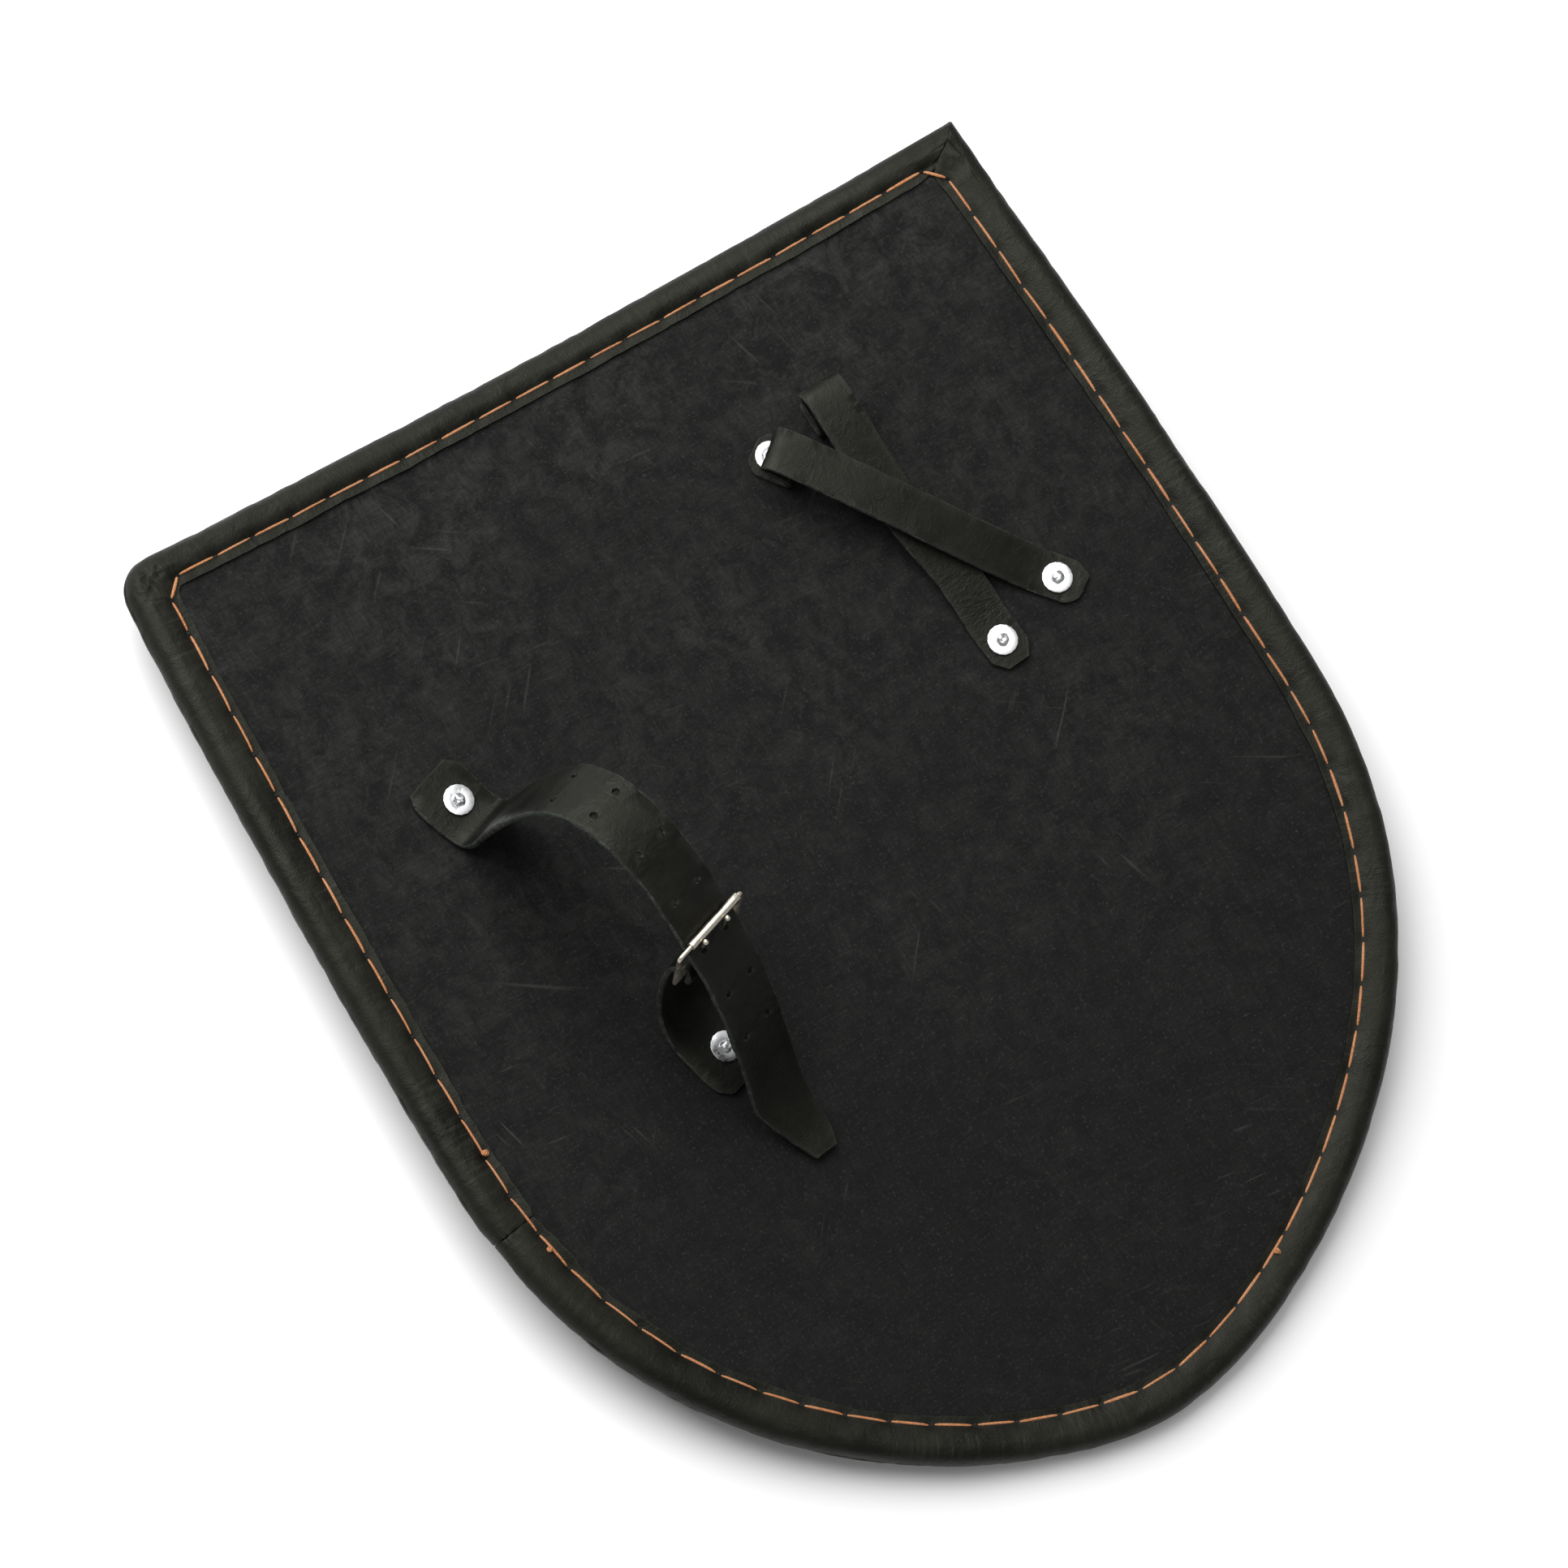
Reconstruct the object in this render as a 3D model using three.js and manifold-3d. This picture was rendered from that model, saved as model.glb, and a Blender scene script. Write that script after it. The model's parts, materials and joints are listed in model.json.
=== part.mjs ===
import * as THREE from 'three';
import { mergeVertices } from 'three/addons/utils/BufferGeometryUtils.js';
import Module from 'manifold-3d';

const wasm = await Module();
wasm.setup();

// Heater shield, lying on its front. X right, Y to the top edge, Z up out of the hollow back.

// outline, right half, as distances from the centre line and down from the top edge
const LENGTH = 700;
const TOP_HALF = 285.3;
const WIDEST_HALF = 299;
const WIDEST_DOWN = 382.4;
const SIDE_HANDLE_TOP = [291.3, 120];
const SIDE_HANDLE_LOW = [WIDEST_HALF, 224];
const POINT_HANDLE_SIDE = [WIDEST_HALF, 601.3];
const POINT_HANDLE_FOOT = [84.3, LENGTH];
const ROUND_CORNER = 22;

// the whole shield is bent about its long axis
const BEND_RADIUS = 1428;
const MID_HEIGHT = 10;
const GAP = 0.3;

// board
const BOARD_HALF = 5;
const BOARD_INSET = 8;
const BOARD_SLATS = 24;
const CUT_REACH = 60;

// leather binding with a padded roll, a stitched valley and a flat flap
const CAVITY_HALF = BOARD_HALF + GAP;
const CAVITY_INSET = BOARD_INSET - GAP;
const VALLEY = 22.5;
const FLAP = 27.5;
const ROLL_END = 12;
const SIDE_STYLE = { valley: 22.5, flap: 27.5 };
const TOP_STYLE = { valley: 18, flap: 23.8 };
const FOOT_STYLE = { valley: 22.3, flap: 27 };
const JOINT_DOWN = 423;
const ROLL_STEP = 29;
const BUTT_GAP = 0.36;

// straps
const GRIP = { width: 26.5, thickness: 3.2 };
const ARM = { width: 38, thickness: 3.6 };
const PUNCH_RADIUS = 2.4;
const PUNCH_HALF_PITCH = 9.45;
const PUNCH_RUNS = [150, 180, 212, 245, 279.5, 314, 350];
const BUCKLED_RUN = PUNCH_RUNS[4];
const STRAP_SUB = 2;
const LAY_GAP = 0.45;

// washers and rivets
const WASHER = { radius: 9, thickness: 1.6, bore: 2.9 };
const SHANK_RADIUS = 2.4;
const SHANK_BORE = 2.9;
const FRONT_HEAD = { radius: 7, height: 3 };
const DOME = { radius: 4, height: 2.8 };
const WASHER_SEGMENTS = 16;
const LATHE_SEGMENTS = 12;

// double-prong roller buckle
const WIRE_RADIUS = 1.4;
const ROLLER = { inner: 1.75, outer: 2.35, left: -16.8, right: 23.4 };
const FRAME_HALF = 26.5;
const FRAME_DROP = 29;
const FRAME_CORNER = 2.8;
const FRAME_LEAN = THREE.MathUtils.degToRad(50);
const PRONG = { radius: 1.2, drop: 9.8, tipOut: 4.1, tipUp: 1.2 };
const RING_RADIUS = WIRE_RADIUS + GAP + PRONG.radius;

const UP = new THREE.Vector3(0, 0, 1);

const LOOK = {
  canvas: { color: 0x2f3135, roughness: 0.9, metalness: 0 },
  leather: { color: 0x2e302b, roughness: 0.55, metalness: 0 },
  steel: { color: 0xc9cccc, roughness: 0.35, metalness: 1 },
  nickel: { color: 0xc4c0b0, roughness: 0.25, metalness: 1 },
};

const shield = new THREE.Group();
shield.name = 'heater_shield';

// ---------- solids ----------

function cleaned(geometry) {
  const bare = geometry.index ? geometry.toNonIndexed() : geometry.clone();
  bare.deleteAttribute('normal');
  bare.deleteAttribute('uv');
  const merged = mergeVertices(bare, 1e-4);
  const index = merged.getIndex().array;
  const kept = [];
  for (let i = 0; i < index.length; i += 3) {
    const [a, b, c] = [index[i], index[i + 1], index[i + 2]];
    if (a !== b && b !== c && c !== a) kept.push(a, b, c);
  }
  merged.setIndex(kept);
  return merged;
}

function toSolid(geometry) {
  const mesh = cleaned(geometry);
  return new wasm.Manifold(new wasm.Mesh({
    numProp: 3,
    vertProperties: new Float32Array(mesh.getAttribute('position').array),
    triVerts: new Uint32Array(mesh.getIndex().array),
  }));
}

function toGeometry(solid) {
  const mesh = solid.getMesh();
  const geometry = new THREE.BufferGeometry();
  geometry.setAttribute('position', new THREE.BufferAttribute(mesh.vertProperties, 3));
  geometry.setIndex(new THREE.BufferAttribute(mesh.triVerts, 1));
  return geometry;
}

function addNode(name, geometry, look) {
  const faceted = geometry.index ? geometry.toNonIndexed() : geometry;
  faceted.computeVertexNormals();
  const mesh = new THREE.Mesh(faceted, new THREE.MeshStandardMaterial(look));
  mesh.name = name;
  shield.add(mesh);
  return mesh;
}

// a flat section swept through `steps` stations; place(x, y, station) gives each corner
function sweep(points, steps, place) {
  const shape = new THREE.Shape(points.map(([x, y]) => new THREE.Vector2(x, y)));
  const geometry = new THREE.ExtrudeGeometry(shape, { depth: steps, steps, bevelEnabled: false });
  const position = geometry.getAttribute('position');
  for (let i = 0; i < position.count; i += 1) {
    const station = Math.round(position.getZ(i));
    const point = place(position.getX(i), position.getY(i), station);
    position.setXYZ(i, point.x, point.y, point.z);
  }
  return geometry;
}

function circle(radius, sides) {
  const points = [];
  for (let i = 0; i < sides; i += 1) {
    const turn = (i / sides) * 2 * Math.PI;
    points.push([radius * Math.cos(turn), radius * Math.sin(turn)]);
  }
  return points;
}

function rod(from, to, radius, sides = 12) {
  const along = new THREE.Vector3().subVectors(to, from);
  const geometry = new THREE.CylinderGeometry(radius, radius, along.length(), sides);
  geometry.rotateX(Math.PI / 2);
  geometry.applyQuaternion(new THREE.Quaternion().setFromUnitVectors(UP, along.clone().normalize()));
  const middle = new THREE.Vector3().addVectors(from, to).multiplyScalar(0.5);
  geometry.translate(middle.x, middle.y, middle.z);
  return toSolid(geometry);
}

// ---------- the bent sheet ----------

function normalAt(x) {
  const lean = x / BEND_RADIUS;
  return new THREE.Vector3(-lean, 0, Math.sqrt(1 - lean * lean));
}

// plan position and height off the middle of the board, bent onto the shield
function lift(x, y, height) {
  const rise = BEND_RADIUS - Math.sqrt(BEND_RADIUS * BEND_RADIUS - x * x);
  return new THREE.Vector3(x, y, MID_HEIGHT + rise).addScaledVector(normalAt(x), height);
}

// ---------- outline ----------

const TOP_Y = LENGTH / 2;

function corner(side) {
  return new THREE.Vector2(side * TOP_HALF, TOP_Y);
}

function halfCurves(side) {
  const at = ([out, down]) => new THREE.Vector2(side * out, TOP_Y - down);
  const widest = at([WIDEST_HALF, WIDEST_DOWN]);
  return {
    side: new THREE.CubicBezierCurve(
      corner(side), at(SIDE_HANDLE_TOP), at(SIDE_HANDLE_LOW), widest),
    foot: new THREE.CubicBezierCurve(
      widest, at(POINT_HANDLE_SIDE), at(POINT_HANDLE_FOOT), at([0, LENGTH])),
  };
}

// a station holds an edge point, the way inward and the widths of the binding there
function station(point, travel, style) {
  return { point, inward: new THREE.Vector2(-travel.y, travel.x), style };
}

function along(curve, from, to, style, backwards = false) {
  const count = Math.max(2, Math.round((curve.getLength() * Math.abs(to - from)) / ROLL_STEP));
  const stations = [];
  for (let i = 0; i <= count; i += 1) {
    const u = from + ((to - from) * i) / count;
    const travel = curve.getTangentAt(u).multiplyScalar(backwards ? -1 : 1);
    const mix = typeof style === 'function' ? style(u) : style;
    stations.push(station(curve.getPointAt(u), travel, mix));
  }
  return stations;
}

function blendStyles(a, b, mix) {
  return {
    valley: THREE.MathUtils.lerp(a.valley, b.valley, mix),
    flap: THREE.MathUtils.lerp(a.flap, b.flap, mix),
  };
}

// distance in from the edge, stretched so valley and flap land where the style says
function inset(a, style) {
  if (a <= ROLL_END) return a;
  if (a <= VALLEY) return ROLL_END + ((a - ROLL_END) * (style.valley - ROLL_END)) / (VALLEY - ROLL_END);
  return style.valley + ((a - VALLEY) * (style.flap - style.valley)) / (FLAP - VALLEY);
}

function mitre(a, side) {
  const tip = corner(side);
  return new THREE.Vector2(tip.x - side * inset(a, SIDE_STYLE), tip.y - inset(a, TOP_STYLE));
}

function planPoint(at, a) {
  if (at.mitreSide && a > at.hold) {
    return mitre(a, at.mitreSide).add(at.shift);
  }
  return at.point.clone().addScaledVector(at.inward, inset(a, at.style));
}

const left = halfCurves(-1);
const right = halfCurves(1);
const noShift = new THREE.Vector2();

function roundCornerStations() {
  const centre = new THREE.Vector2(-TOP_HALF + ROUND_CORNER, TOP_Y - ROUND_CORNER);
  const count = 6;
  const stations = [];
  for (let i = 0; i <= count; i += 1) {
    const turn = (i / count) * (Math.PI / 2);
    const out = new THREE.Vector2(-Math.sin(turn), Math.cos(turn));
    const travel = new THREE.Vector2(-out.y, out.x);
    const at = station(centre.clone().addScaledVector(out, ROUND_CORNER), travel, SIDE_STYLE);
    stations.push({ ...at, mitreSide: -1, hold: ROLL_END, shift: noShift });
  }
  return stations;
}

function mitredStation(travel, shift) {
  const at = station(corner(1), travel, SIDE_STYLE);
  return { ...at, mitreSide: 1, hold: -1, shift };
}

const footLength = left.foot.getLength();
const jointU = (JOINT_DOWN - WIDEST_DOWN) / footLength;
const buttU = BUTT_GAP / footLength;
const topRun = new THREE.LineCurve(
  new THREE.Vector2(TOP_HALF, TOP_Y), new THREE.Vector2(-TOP_HALF + ROUND_CORNER, TOP_Y));
const footMix = u => blendStyles(SIDE_STYLE, FOOT_STYLE, u);
const sideStart = ROUND_CORNER / left.side.getLength();

const stripTop = [
  mitredStation(new THREE.Vector2(-1, 0), new THREE.Vector2(-BUTT_GAP / 2, 0)),
  ...along(topRun, 0.08, 0.955, TOP_STYLE),
  ...roundCornerStations(),
  ...along(left.side, sideStart * 2.2, 1, SIDE_STYLE),
  ...along(left.foot, 0, jointU, footMix).slice(1),
];
const stripLow = [
  ...along(left.foot, jointU + buttU, 1, footMix),
  ...along(right.foot, 1, 0, footMix, true).slice(1),
  ...along(right.side, 1, 0.09, SIDE_STYLE, true).slice(1),
  mitredStation(new THREE.Vector2(0, 1), new THREE.Vector2(0, -BUTT_GAP / 2)),
];

// ---------- binding ----------

const rollSide = [
  [FLAP, CAVITY_HALF + 1.9], [VALLEY, CAVITY_HALF + 1.6],
  [18.5, 9], [ROLL_END, 10.5], [8, 10.35], [4, 8.7], [1.3, 5.6], [0, 1.8],
];
const bindingSection = [
  [ROLL_END, CAVITY_HALF],
  [FLAP, CAVITY_HALF],
  ...rollSide,
  ...rollSide.map(([a, b]) => [a, -b]).reverse(),
  [FLAP, -CAVITY_HALF],
  [ROLL_END, -CAVITY_HALF],
  [CAVITY_INSET, -CAVITY_HALF],
  [CAVITY_INSET, CAVITY_HALF],
];

function bindingSolid(strip) {
  const swept = sweep(bindingSection, strip.length - 1, (a, b, i) => {
    const plan = planPoint(strip[i], a);
    return lift(plan.x, plan.y, b);
  });
  const floor = new THREE.BoxGeometry(2 * LENGTH, 2 * LENGTH, LENGTH);
  floor.translate(0, 0, -LENGTH / 2);
  return toSolid(swept).subtract(toSolid(floor));
}

addNode('binding_top_left', toGeometry(bindingSolid(stripTop)), LOOK.leather);
addNode('binding_bottom_right', toGeometry(bindingSolid(stripLow)), LOOK.leather);

// ---------- board ----------

function boardSolid(bores) {
  const band = new THREE.Shape();
  const edge = (i, height) => {
    const x = -WIDEST_HALF + (2 * WIDEST_HALF * i) / BOARD_SLATS;
    const at = lift(x, 0, height);
    return [at.x, at.z];
  };
  band.moveTo(...edge(0, -BOARD_HALF));
  for (let i = 1; i <= BOARD_SLATS; i += 1) band.lineTo(...edge(i, -BOARD_HALF));
  for (let i = BOARD_SLATS; i >= 0; i -= 1) band.lineTo(...edge(i, BOARD_HALF));
  const slab = new THREE.ExtrudeGeometry(band, { depth: LENGTH, steps: 1, bevelEnabled: false });
  slab.rotateX(Math.PI / 2);
  slab.translate(0, TOP_Y, 0);
  const edgePoints = [...stripTop, ...stripLow.slice(0, -1)].map(at => planPoint(at, BOARD_INSET));
  const outline = edgePoints.map(at => [at.x, at.y]);
  const prism = sweep(outline, 1, (x, y, end) => lift(x, y, end ? CUT_REACH : -CUT_REACH));
  return bores.reduce((solid, bore) => solid.subtract(bore), toSolid(slab).intersect(toSolid(prism)));
}

// ---------- strap seats: along, up and side, measured on the hollow face ----------

class Seat {
  constructor(start, end) {
    this.start = new THREE.Vector2(...start);
    this.heading = new THREE.Vector2(...end).sub(this.start).normalize();
    this.sideways = new THREE.Vector2(-this.heading.y, this.heading.x);
  }

  plan(run, side) {
    return this.start.clone().addScaledVector(this.heading, run).addScaledVector(this.sideways, side);
  }

  at(run, up, side) {
    const plan = this.plan(run, side);
    return lift(plan.x, plan.y, BOARD_HALF + up);
  }

  // the direction across the strap, level with the face at x
  across(x) {
    const normal = normalAt(x);
    const flat = new THREE.Vector3(this.sideways.x, this.sideways.y, 0);
    return flat.addScaledVector(normal, -flat.dot(normal)).normalize();
  }
}

// route entries: run, up, side, reach to the left, reach to the right
function routeOn(seat, entries) {
  return entries.map(([run, up, side, reachLeft, reachRight]) => {
    const point = seat.at(run, up, side);
    return { point, across: seat.across(point.x), reachLeft, reachRight };
  });
}

class Strap {
  constructor(route, thickness) {
    this.route = route;
    this.thickness = thickness;
    this.curve = new THREE.CatmullRomCurve3(route.map(entry => entry.point), false, 'centripetal');
    this.curve.arcLengthDivisions = 600;
    const steps = (route.length - 1) * STRAP_SUB;
    const half = thickness / 2;
    const swept = sweep([[-1, -half], [1, -half], [1, half], [-1, half]], steps, (x, y, i) => {
      const u = i / steps;
      const basis = this.basis(u);
      const reach = x < 0 ? -basis.reachLeft : basis.reachRight;
      return basis.point.clone().addScaledVector(basis.across, reach).addScaledVector(basis.outward, y);
    });
    this.solid = toSolid(swept);
  }

  basis(u) {
    const spot = u * (this.route.length - 1);
    const i = Math.min(Math.floor(spot), this.route.length - 2);
    const [a, b] = [this.route[i], this.route[i + 1]];
    const travel = this.curve.getTangent(u).normalize();
    const across = a.across.clone().lerp(b.across, spot - i);
    across.addScaledVector(travel, -across.dot(travel)).normalize();
    return {
      point: this.curve.getPoint(u),
      travel,
      across,
      outward: new THREE.Vector3().crossVectors(travel, across),
      reachLeft: THREE.MathUtils.lerp(a.reachLeft, b.reachLeft, spot - i),
      reachRight: THREE.MathUtils.lerp(a.reachRight, b.reachRight, spot - i),
    };
  }

  // basis at a distance run along the strap from its start
  basisAt(run) {
    return this.basis(this.curve.getUtoTmapping(0, run));
  }

  bore(from, to, radius, sides = 10) {
    this.solid = this.solid.subtract(rod(from, to, radius, sides));
  }

  punch(run, side) {
    const basis = this.basisAt(run);
    const middle = basis.point.clone().addScaledVector(basis.across, side);
    const reach = basis.outward.clone().multiplyScalar(this.thickness);
    this.bore(middle.clone().sub(reach), middle.clone().add(reach), PUNCH_RADIUS, 8);
  }
}

const gripSeatOver = new Seat([87.5, 232.2], [194.7, 89.3]);
const gripSeatUnder = new Seat([134.4, 245], [147.8, 74.5]);
const armSeat = new Seat([-180.7, 148.4], [-120.9, -43.5]);
const GRIP_END_OVER = 178.6;
const GRIP_END_UNDER = 171;
const BUCKLE_END = 201;

const g = GRIP.width / 2;
const gripLay = LAY_GAP + GRIP.thickness / 2;
const gripOver = new Strap(routeOn(gripSeatOver, [
  [-10.8, gripLay, 0, 8, 7.5],
  [-4.5, gripLay, 0, g, g],
  [0, gripLay, 0, g, g],
  [10.5, gripLay + 0.1, 0, g, g],
  [15.8, 5.4, 0, g, g],
  [14.6, 11.4, -0.4, g, g],
  [6, 16, -1, g, g],
  [-2, 20, -1.6, g, g],
  [-3, 24.6, -2, g, g],
  [3, 27.8, -2, g, g],
  [20, 28.3, -2, g, g],
  [51.6, 27.6, -2.6, g, g],
  [84.3, 24, -2.6, g, g],
  [118.7, 16.8, -2.4, g, g],
  [140, 10.8, -1.6, g, g],
  [156, 5.2, -0.5, g, g],
  [167, gripLay + 0.5, 0, g, g],
  [GRIP_END_OVER, gripLay, 0.6, g, g],
  [188, gripLay, 0.8, g, g],
  [195.5, gripLay, 1, 6.5, 8],
]), GRIP.thickness);

const gripUnder = new Strap(routeOn(gripSeatUnder, [
  [-10, gripLay, -3, 8, 8],
  [-3.5, gripLay, -3, g, g],
  [0, gripLay, -3, g, g],
  [10.5, gripLay + 0.1, -3.4, g, g],
  [15.6, 5.2, -4, g, g],
  [13.8, 10.6, -4.5, g, g],
  [4, 15, -4.8, g, g],
  [-5, 18.8, -5, g, g],
  [-7.4, 22.8, -5, g, g],
  [-2, 26, -5, g, g],
  [10, 26.4, -5.5, g, g],
  [24, 25, -6.1, g, g],
  [49, 21, -7.2, g, g],
  [73.4, 16.6, -6.6, g, g],
  [97.5, 12, -3.4, g, g],
  [125, 7.2, 0.4, g, g],
  [148, 3.6, 0.4, g, g],
  [160, gripLay + 0.3, 0, g, g],
  [GRIP_END_UNDER, gripLay, 0, g, g],
  [179, gripLay, 0.4, g, g],
  [187, gripLay, 0.4, 7, 7.5],
]), GRIP.thickness);

const w = ARM.width / 2;
const armLay = LAY_GAP + ARM.thickness / 2;
const armStrap = new Strap(routeOn(armSeat, [
  [-21.5, armLay, -1.5, 15, 14],
  [-14, armLay, -1.5, w + 1, w + 0.5],
  [0, armLay, -1.5, w + 1, w + 0.5],
  [13, armLay + 0.3, -1.2, w, w],
  [20, 6.4, -0.6, w, w],
  [22.6, 14, 0, w, w],
  [22.9, 26, 0, w, w],
  [24.2, 52.4, 0, w, w],
  [26.9, 75.6, 0, w, w],
  [30.3, 94.8, 0, w, w],
  [36.5, 113, 0, w, w],
  [48.1, 128.2, 0, w, w],
  [65.7, 135.6, 0, w, w],
  [85.8, 135.5, 0, w, w],
  [106, 130.8, 0, w, w],
  [126, 120.7, 0, w, w],
  [145.5, 108.3, 0, w, w],
  [163.9, 96.2, 0, w, w],
  [180.7, 81.2, 0, w, w],
  [196.6, 63.7, 0, w, w],
  [212.6, 45, -0.3, w, w],
  [227.4, 27.6, -1.7, w, w],
  [241, 15.6, -4.4, w, w],
  [262, 7.6, -9, 8.5, w],
  [270, 6, -10.8, 4.6, w],
  [280, 5, -13, 0, 15.5],
]), ARM.thickness);

// ---------- buckle ----------

const rollerRun = BUCKLED_RUN - PRONG.drop;
const rollerSeat = armStrap.basisAt(rollerRun);
const rollerLift = ARM.thickness / 2 + GAP + ROLLER.outer;
const rollerCentre = rollerSeat.point.clone().addScaledVector(rollerSeat.outward, rollerLift);
const frameUp = rollerSeat.outward.clone().multiplyScalar(Math.cos(FRAME_LEAN))
  .addScaledVector(rollerSeat.travel, -Math.sin(FRAME_LEAN));
const frameBack = new THREE.Vector3().crossVectors(frameUp, rollerSeat.across);

function onBuckle(x, y, z) {
  return rollerCentre.clone().addScaledVector(rollerSeat.across, x)
    .addScaledVector(frameBack, y).addScaledVector(frameUp, z);
}

function wirePath(points, radius, sides = 8) {
  const bends = points.map((point, i) => {
    if (i === 0 || i === points.length - 1) return [point, point];
    const back = points[i - 1].clone().sub(point).setLength(FRAME_CORNER);
    const on = points[i + 1].clone().sub(point).setLength(FRAME_CORNER);
    return [point.clone().add(back), point.clone().add(on)];
  });
  const stops = [];
  bends.forEach(([enter, leave], i) => {
    if (i === 0 || i === points.length - 1) {
      stops.push(enter);
      return;
    }
    const bend = new THREE.QuadraticBezierCurve3(enter, points[i], leave);
    stops.push(...bend.getPoints(4));
  });
  return sweep(circle(radius, sides), stops.length - 1, (x, y, i) => {
    const before = stops[Math.max(i - 1, 0)];
    const after = stops[Math.min(i + 1, stops.length - 1)];
    const travel = after.clone().sub(before).normalize();
    const sideways = new THREE.Vector3().crossVectors(frameBack, travel).normalize();
    return stops[i].clone().addScaledVector(sideways, x).addScaledVector(frameBack, y);
  });
}

function frameSolid() {
  const arch = wirePath([
    onBuckle(-FRAME_HALF, 0, -FRAME_DROP), onBuckle(-FRAME_HALF, 0, 0),
    onBuckle(FRAME_HALF, 0, 0), onBuckle(FRAME_HALF, 0, -FRAME_DROP),
  ], WIRE_RADIUS);
  const heel = rod(onBuckle(-FRAME_HALF, 0, -FRAME_DROP), onBuckle(FRAME_HALF, 0, -FRAME_DROP), WIRE_RADIUS);
  const knuckles = [-1, 1].map(side => {
    const at = onBuckle(side * FRAME_HALF, 0, -FRAME_DROP);
    const ball = new THREE.SphereGeometry(WIRE_RADIUS, 8, 6);
    ball.translate(at.x, at.y, at.z);
    return toSolid(ball);
  });
  return [heel, ...knuckles].reduce((solid, extra) => solid.add(extra), toSolid(arch));
}

function ringSolid(x) {
  const centre = onBuckle(x, 0, -FRAME_DROP);
  const profile = circle(PRONG.radius, 6).map(([r, z]) => new THREE.Vector2(RING_RADIUS + r, z));
  profile.push(profile[0].clone());
  const ring = new THREE.LatheGeometry(profile, 12);
  ring.applyQuaternion(
    new THREE.Quaternion().setFromUnitVectors(new THREE.Vector3(0, 1, 0), rollerSeat.across));
  ring.translate(centre.x, centre.y, centre.z);
  return toSolid(ring);
}

function prongEnds(x) {
  return [
    onBuckle(x, 0, -FRAME_DROP + RING_RADIUS),
    onBuckle(x, -PRONG.tipOut, PRONG.tipUp),
  ];
}

function prongSolid(x) {
  const [foot, tip] = prongEnds(x);
  const ball = new THREE.SphereGeometry(PRONG.radius, 8, 6);
  ball.translate(tip.x, tip.y, tip.z);
  return ringSolid(x).add(rod(foot, tip, PRONG.radius, 8)).add(toSolid(ball));
}

function rollerSolid() {
  const tube = (radius, over) => rod(
    onBuckle(ROLLER.left - over, 0, 0), onBuckle(ROLLER.right + over, 0, 0), radius, 20);
  return tube(ROLLER.outer, 0).subtract(tube(ROLLER.inner, 1));
}

PUNCH_RUNS.forEach(run => {
  [-1, 1].forEach(side => armStrap.punch(run, side * PUNCH_HALF_PITCH));
});
[-1, 1].forEach(side => {
  const [foot, tip] = prongEnds(side * PUNCH_HALF_PITCH);
  armStrap.bore(foot, tip, PRONG.radius + 2 * GAP);
});

const wrap = WIRE_RADIUS + GAP + ARM.thickness / 2;
const FOLD_SIDE = 0;
const foldPoint = (y, z) => (
  { point: onBuckle(FOLD_SIDE, y, z - FRAME_DROP), across: rollerSeat.across, reachLeft: w, reachRight: w });
const buckleStrap = new Strap([
  ...routeOn(armSeat, [
    [222.5, armLay, -4.5, 12.5, 13],
    [214, armLay, -4.2, w, w],
    [BUCKLE_END, armLay, -4, w, w],
    [187, armLay + 0.4, -3.6, w, w],
    [177, 5.6, -2.8, w, w],
    [168, 12.5, -2, w, w],
    [159, 25, -1, w, w],
    [152, 41, 0, w, w],
    [147.5, 58, 0.6, w, w],
    [145, 75, 0.6, w, w],
  ]),
  foldPoint(wrap, 0),
  foldPoint(wrap * 0.71, wrap * 0.71),
  foldPoint(0, wrap),
  foldPoint(-wrap * 0.71, wrap * 0.71),
  foldPoint(-wrap, 0),
  foldPoint(-wrap, -5),
  foldPoint(-wrap + 0.6, -10),
], ARM.thickness);
[-1, 1].forEach(side => {
  const x = side * PUNCH_HALF_PITCH;
  const slot = PRONG.radius + 2 * GAP;
  const reach = RING_RADIUS + PRONG.radius + GAP;
  const block = new THREE.BoxGeometry(2 * slot, 4 * reach, 3 * reach);
  block.applyMatrix4(new THREE.Matrix4().makeBasis(rollerSeat.across, frameBack, frameUp));
  const at = onBuckle(x, 0, -FRAME_DROP + reach / 2);
  block.translate(at.x, at.y, at.z);
  buckleStrap.solid = buckleStrap.solid.subtract(toSolid(block));
});

addNode('buckle_frame', toGeometry(frameSolid()), LOOK.nickel);
addNode('buckle_roller', toGeometry(rollerSolid()), LOOK.nickel);
addNode('buckle_prong_left', toGeometry(prongSolid(-PUNCH_HALF_PITCH)), LOOK.nickel);
addNode('buckle_prong_right', toGeometry(prongSolid(PUNCH_HALF_PITCH)), LOOK.nickel);

// ---------- rivets and washers ----------

const fixings = [
  { name: 'grip_over_left', seat: gripSeatOver, run: 0, side: 0, strap: gripOver },
  { name: 'grip_over_right', seat: gripSeatOver, run: GRIP_END_OVER, side: 0, strap: gripOver },
  { name: 'grip_under_top', seat: gripSeatUnder, run: 0, side: -3, strap: gripUnder },
  { name: 'grip_under_low', seat: gripSeatUnder, run: GRIP_END_UNDER, side: 0, strap: gripUnder },
  { name: 'arm', seat: armSeat, run: 0, side: 0, strap: armStrap },
  { name: 'buckle', seat: armSeat, run: BUCKLE_END, side: 0, strap: buckleStrap },
];

function washerGeometry(thickness) {
  const base = BOARD_HALF + LAY_GAP + thickness + GAP;
  const top = base + WASHER.thickness;
  const profile = [
    [WASHER.bore, base], [WASHER.radius, base], [WASHER.radius, top], [WASHER.bore, top], [WASHER.bore, base],
  ];
  return lathe(profile, WASHER_SEGMENTS);
}

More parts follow.
